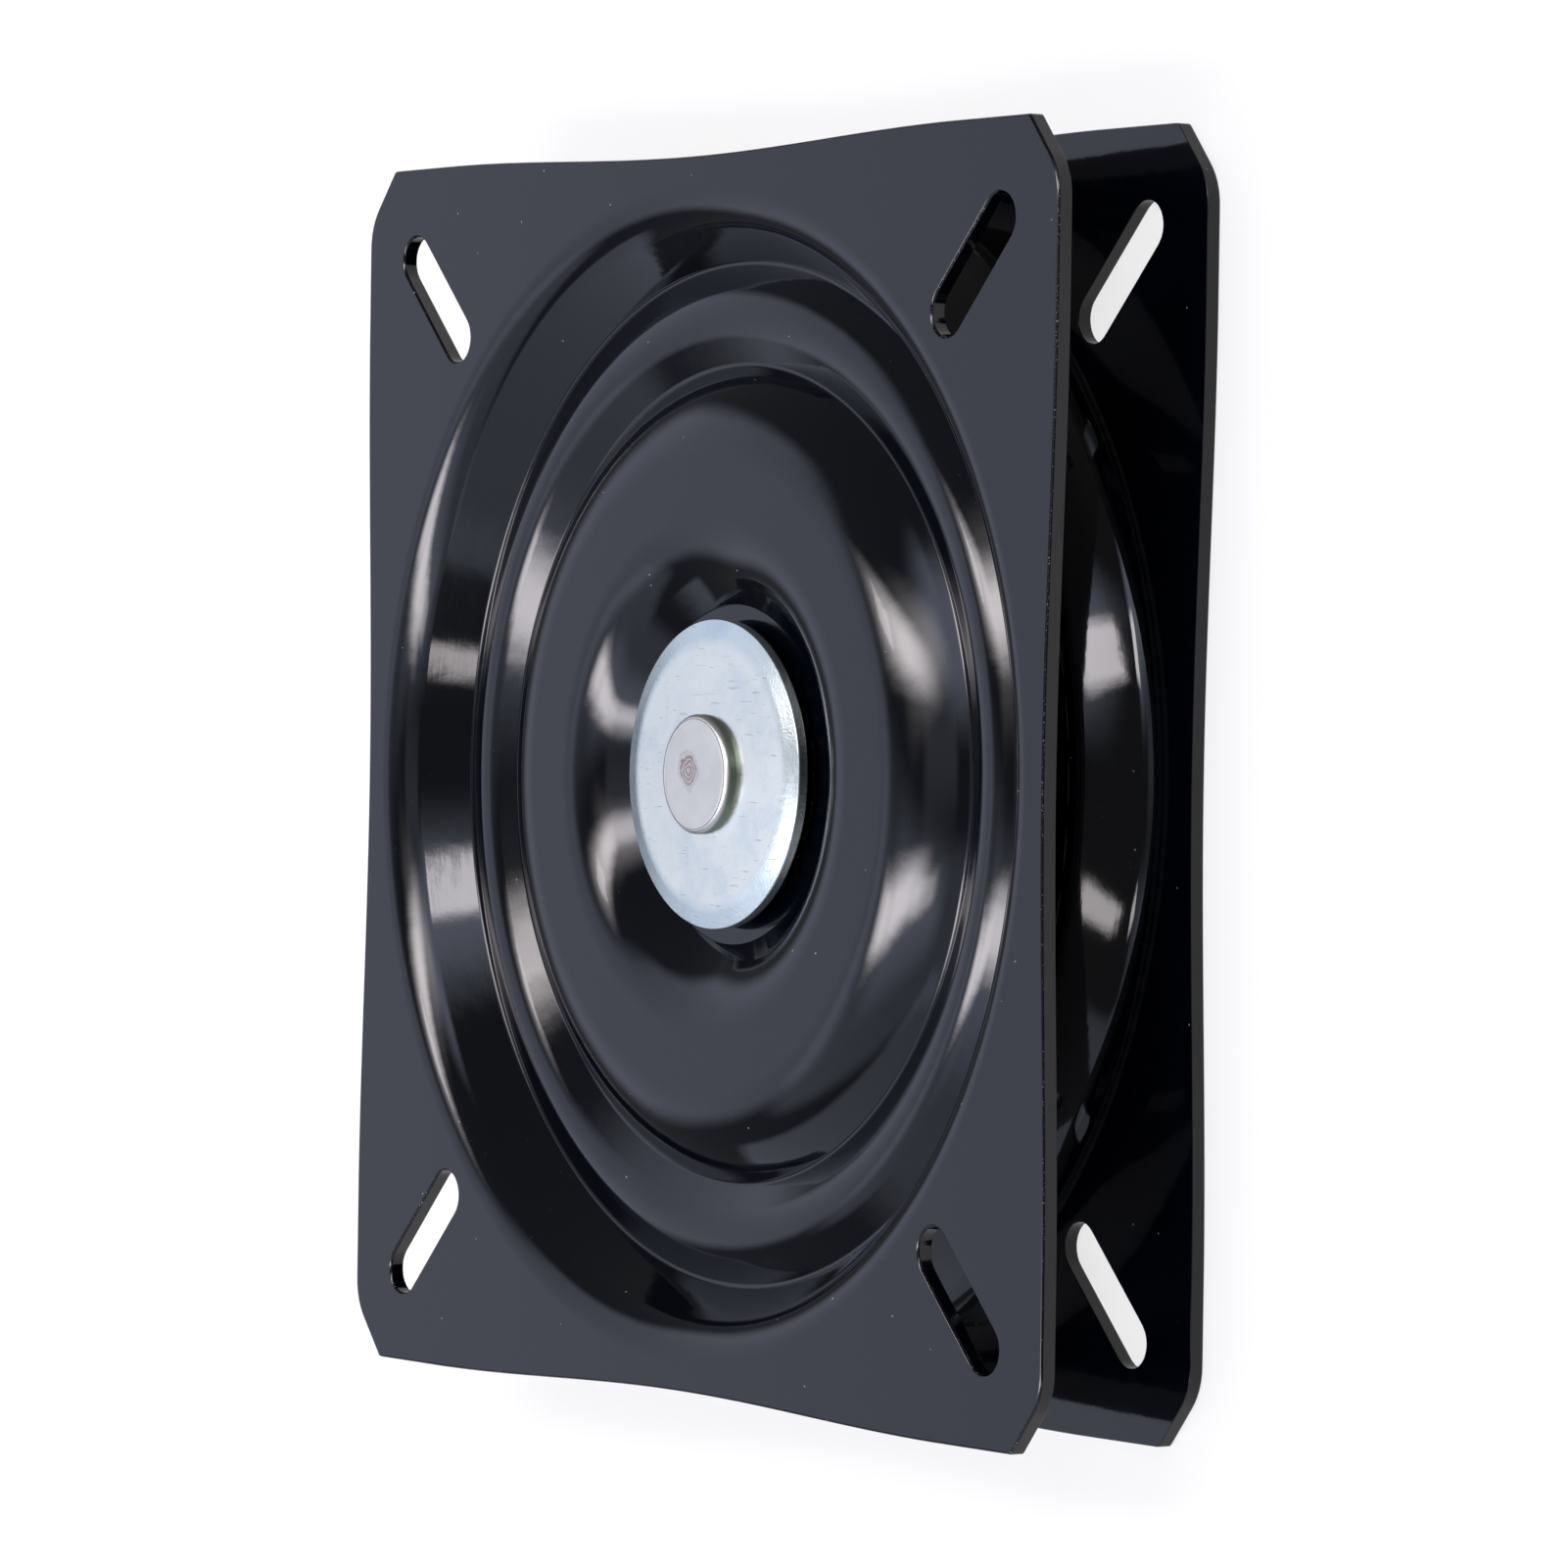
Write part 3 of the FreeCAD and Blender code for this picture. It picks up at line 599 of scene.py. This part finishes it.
def soft_box(name, place, width, length, radiance, hue, roll, fade, faces_down=True):
    """A flat lamp that faces straight down, or the upper face's middle, turned by roll in degrees
    about that line. Its place is in metres from that middle, and its sizes are in metres. Its
    radiance is the given one times the smooth steps of the distances to its nearest edges, taken
    over the fade, a share of its width and of its length."""
    lamp = bpy.data.lights.new(name, "AREA")
    lamp.shape = "RECTANGLE"
    lamp.size, lamp.size_y = width, length
    lamp.energy = math.pi * width * length
    lamp.use_nodes = True
    tree = lamp.node_tree
    where = add_node(tree, "ShaderNodeNewGeometry")
    split = add_node(tree, "ShaderNodeSeparateXYZ", i0=where.outputs["Parametric"])
    steps = []
    for axis, share in zip(("X", "Y"), fade):
        near = add_node(tree, "ShaderNodeMath", {"operation": "PINGPONG", 1: 0.5},
                        i0=split.outputs[axis])
        steps.append(add_node(tree, "ShaderNodeMapRange",
                              {"interpolation_type": "SMOOTHSTEP", "From Max": share},
                              Value=near.outputs[0]))
    both = add_node(tree, "ShaderNodeMath", {"operation": "MULTIPLY"},
                    i0=steps[0].outputs["Result"], i1=steps[1].outputs["Result"])
    power = add_node(tree, "ShaderNodeMath", {"operation": "MULTIPLY", 1: radiance},
                     i0=both.outputs[0])
    tree.nodes["Emission"].inputs["Color"].default_value = linear(hue)
    tree.links.new(power.outputs[0], tree.nodes["Emission"].inputs["Strength"])
    thing = bpy.data.objects.new(name, lamp)
    bpy.context.collection.objects.link(thing)
    place = np.array(place, float)
    back = np.array([0.0, 0.0, 1.0]) if faces_down else place / np.linalg.norm(place)
    right = np.cross([0.0, 1.0, 0.0], back)
    right /= np.linalg.norm(right)
    up = np.cross(back, right)
    c, s = math.cos(math.radians(roll)), math.sin(math.radians(roll))
    right, up = c * right + s * up, -s * right + c * up
    matrix = np.eye(4)
    matrix[:3] = np.stack([right, up, back, place + face_middle], 1)
    thing.matrix_world = Matrix(matrix.tolist())
    thing.visible_camera = False


WARM, COOL = "#fff8fb", "#dce4ff"
soft_box("long_box_upper", [-0.139, 0.290, 1.00], 1.365, 0.291, 10.3, WARM, 6.2, (0.50, 0.45))
soft_box("long_box_lower", [-0.159, -0.275, 1.01], 1.107, 0.269, 10.1, WARM, -4.6, (0.44, 0.435))
soft_box("box_end_upper", [-0.463, 0.262, 1.02], 0.257, 0.100, 3.4, WARM, -3.2, (0.23, 0.134))
soft_box("box_end_lower", [-0.536, -0.231, 1.03], 0.423, 0.192, 4.9, WARM, -13.5, (0.43, 0.33))
soft_box("tail_upper", [0.229, 0.428, 1.04], 1.300, 0.607, 3.1, WARM, 22.3, (0.475, 0.5))
soft_box("tail_lower", [0.256, -0.386, 1.05], 0.595, 0.205, 3.9, WARM, -9.2, (0.35, 0.35))
soft_box("camera_box_upper", [1.214, 0.618, 1.00], 0.462, 0.425, 9.2, WARM, 25.0, (0.175, 0.244))
soft_box("camera_box_lower", [1.242, -0.629, 1.01], 0.525, 0.245, 6.9, WARM, -38.3, (0.2, 0.35))
soft_box("corner_board_upper", [0.809, 0.756, 1.06], 1.609, 1.226, 1.85, COOL, -12.3, (0.34, 0.40))
soft_box("corner_board_lower", [0.095, -0.436, 1.07], 1.494, 0.737, 0.95, COOL, -15.4, (0.27, 0.5))
soft_box("lower_board", [-0.073, -0.653, 1.08], 2.515, 1.300, 0.55, COOL, -12.1, (0.135, 0.255))
soft_box("middle_board", [0.480, 0.130, 1.09], 0.924, 1.037, 0.42, COOL, 1.1, (0.21, 0.5))
soft_box("left_board", [-1.35, 0.10, 0.85], 1.5, 1.8, 0.77, COOL, 0.0, (0.3, 0.2), False)
soft_box("table_board", [-0.10, -1.42, 0.52], 3.0, 1.25, 0.64, COOL, 0.0, (0.08, 0.12), False)

# The table, 60 m wide, is painted matt. To the camera and through glass it also glows, so it
# shows white without more light on the bearing. In gloss and metal that glow is weaker, because
# most of what they mirror is the table near the bearing, which the bearing shades.
TABLE = 30
table_corners = [(-TABLE, -TABLE, 0), (TABLE, -TABLE, 0), (TABLE, TABLE, 0), (-TABLE, TABLE, 0)]
floor_mesh = bpy.data.meshes.new("floor")
floor_mesh.from_pydata(table_corners, [], [(0, 1, 2, 3)])
floor = bpy.data.objects.new("floor", floor_mesh)
bpy.context.collection.objects.link(floor)
white, tree, shader = new_material("matt_white_table")
shader.inputs["Base Color"].default_value = linear("#8a8a8a")
shader.inputs["Roughness"].default_value = 0.9
rays = add_node(tree, "ShaderNodeLightPath")
seen = add_node(tree, "ShaderNodeMath", {"operation": "MAXIMUM"},
                i0=rays.outputs["Is Camera Ray"], i1=rays.outputs["Is Glossy Ray"])
seen = add_node(tree, "ShaderNodeMath", {"operation": "MAXIMUM"},
                i0=seen.outputs[0], i1=rays.outputs["Is Transmission Ray"])
level = add_node(tree, "ShaderNodeMapRange", {"To Min": 0.75, "To Max": 0.45},
                 Value=rays.outputs["Is Glossy Ray"])
glow = add_node(tree, "ShaderNodeEmission", {"Color": (1, 1, 1, 1)},
                Strength=level.outputs["Result"])
both = add_node(tree, "ShaderNodeAddShader", i0=shader.outputs[0], i1=glow.outputs[0])
mixed = add_node(tree, "ShaderNodeMixShader",
                 i0=seen.outputs[0], i1=shader.outputs[0], i2=both.outputs[0])
tree.links.new(mixed.outputs[0], tree.nodes["Material Output"].inputs["Surface"])
floor_mesh.materials.append(white)

# The room beyond the table: white to the camera and through glass, and dim as a light.
world = bpy.data.worlds.new("studio")
bpy.context.scene.world = world
world.use_nodes = True
tree = world.node_tree
rays = add_node(tree, "ShaderNodeLightPath")
seen = add_node(tree, "ShaderNodeMath", {"operation": "MAXIMUM"},
                i0=rays.outputs["Is Camera Ray"], i1=rays.outputs["Is Transmission Ray"])
strength = add_node(tree, "ShaderNodeMapRange", {"To Min": 0.11, "To Max": 1.0},
                    Value=seen.outputs[0])
tree.links.new(strength.outputs["Result"], tree.nodes["Background"].inputs["Strength"])
tree.nodes["Background"].inputs["Color"].default_value = (1, 1, 1, 1)

# The camera stands to the right of the bearing, about a metre and a quarter away, with a long lens.
# TURN is in radians about X, Y and Z, and takes the bearing's axes to the camera's, Y first, then
# X, then Z. AWAY is where the upper face's middle lies in the camera's axes, in metres.
FOCAL_PIXELS, IMAGE_PIXELS, SENSOR = 7939.63, 1601.0, 36.0
TURN = (0.0126658, -0.98345638, -0.01437566)
AWAY = (-0.01595631, 0.00158091, -1.23523054)
cx, sx, cy, sy, cz, sz = (f(a) for a in TURN for f in (math.cos, math.sin))
turn_x = np.array([[1, 0, 0], [0, cx, -sx], [0, sx, cx]])
turn_y = np.array([[cy, 0, sy], [0, 1, 0], [-sy, 0, cy]])
turn_z = np.array([[cz, -sz, 0], [sz, cz, 0], [0, 0, 1]])
to_camera = turn_z @ turn_x @ turn_y
camera = bpy.data.cameras.new("camera")
camera.sensor_width = SENSOR
camera.lens = FOCAL_PIXELS / IMAGE_PIXELS * SENSOR
camera.clip_start = 0.05
view = bpy.data.objects.new("camera", camera)
bpy.context.collection.objects.link(view)
matrix = np.eye(4)
matrix[:3, :3] = to_camera.T
matrix[:3, 3] = -to_camera.T @ np.array(AWAY) + face_middle
view.matrix_world = Matrix(matrix.tolist())
bpy.context.scene.camera = view
bpy.context.scene.view_settings.view_transform = "Standard"
